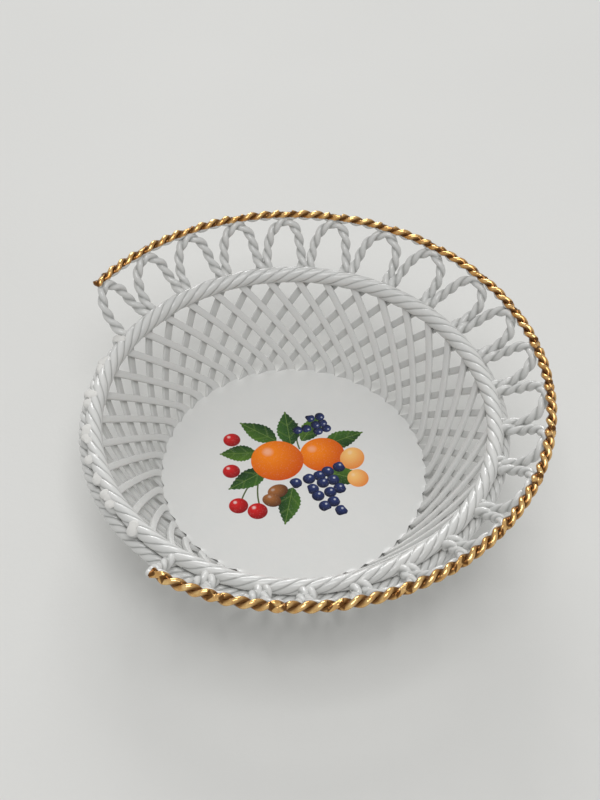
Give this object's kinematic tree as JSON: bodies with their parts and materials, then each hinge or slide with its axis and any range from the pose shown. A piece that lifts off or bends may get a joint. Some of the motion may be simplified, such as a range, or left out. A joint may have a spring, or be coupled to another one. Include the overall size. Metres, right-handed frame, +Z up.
{
  "type": "porcelain lattice basket",
  "caption": "Round open-work porcelain basket: flat floor, woven strap wall, twisted rope rims and a gilt rope border, part of which is broken away.",
  "frame": {"origin": "centre of the flat underside of the floor, on the bowl's axis", "axes": "+Z up along the bowl's axis; -X towards the stretch of border that is broken away; -Y towards the viewer"},
  "size_m": [0.2363, 0.252, 0.0757],
  "materials": {
    "white_glaze": "glossy cool white glaze, pooled in the grooves",
    "painted_glaze": "glossy white glaze with a printed fruit design in the middle",
    "gilding": "bright fired gilding over white glaze",
    "bare_break": "matt bare break"
  },
  "bodies": {
    "root": {"border_arch_01": "white_glaze", "border_arch_02": "white_glaze", "border_arch_03": "white_glaze", "border_arch_04": "white_glaze", "border_arch_05": "white_glaze", "border_arch_06": "white_glaze", "border_arch_07": "white_glaze", "border_arch_08": "white_glaze", "border_arch_09": "white_glaze", "border_arch_10": "white_glaze", "border_arch_11": "white_glaze", "border_arch_12": "white_glaze", "border_arch_13": "white_glaze", "border_arch_14": "white_glaze", "border_arch_15": "white_glaze", "border_arch_16": "white_glaze", "border_arch_17": "white_glaze", "border_arch_18": "white_glaze", "border_arch_19": "white_glaze", "border_arch_20": "white_glaze", "border_arch_21": "white_glaze", "broken_arch_stubs": "bare_break", "collar_rope": "white_glaze", "floor_plate": "painted_glaze", "gilt_edge_rope": "gilding", "inner_straps_01": "white_glaze", "inner_straps_02": "white_glaze", "inner_straps_03": "white_glaze", "inner_straps_04": "white_glaze", "inner_straps_05": "white_glaze", "inner_straps_06": "white_glaze", "inner_straps_07": "white_glaze", "inner_straps_08": "white_glaze", "inner_straps_09": "white_glaze", "inner_straps_10": "white_glaze", "inner_straps_11": "white_glaze", "inner_straps_12": "white_glaze", "inner_straps_13": "white_glaze", "outer_straps_01": "white_glaze", "outer_straps_02": "white_glaze", "outer_straps_03": "white_glaze", "outer_straps_04": "white_glaze", "outer_straps_05": "white_glaze", "outer_straps_06": "white_glaze", "outer_straps_07": "white_glaze", "outer_straps_08": "white_glaze", "outer_straps_09": "white_glaze", "outer_straps_10": "white_glaze", "outer_straps_11": "white_glaze", "outer_straps_12": "white_glaze", "outer_straps_13": "white_glaze", "rim_rope": "white_glaze"}
  },
  "joints": []
}
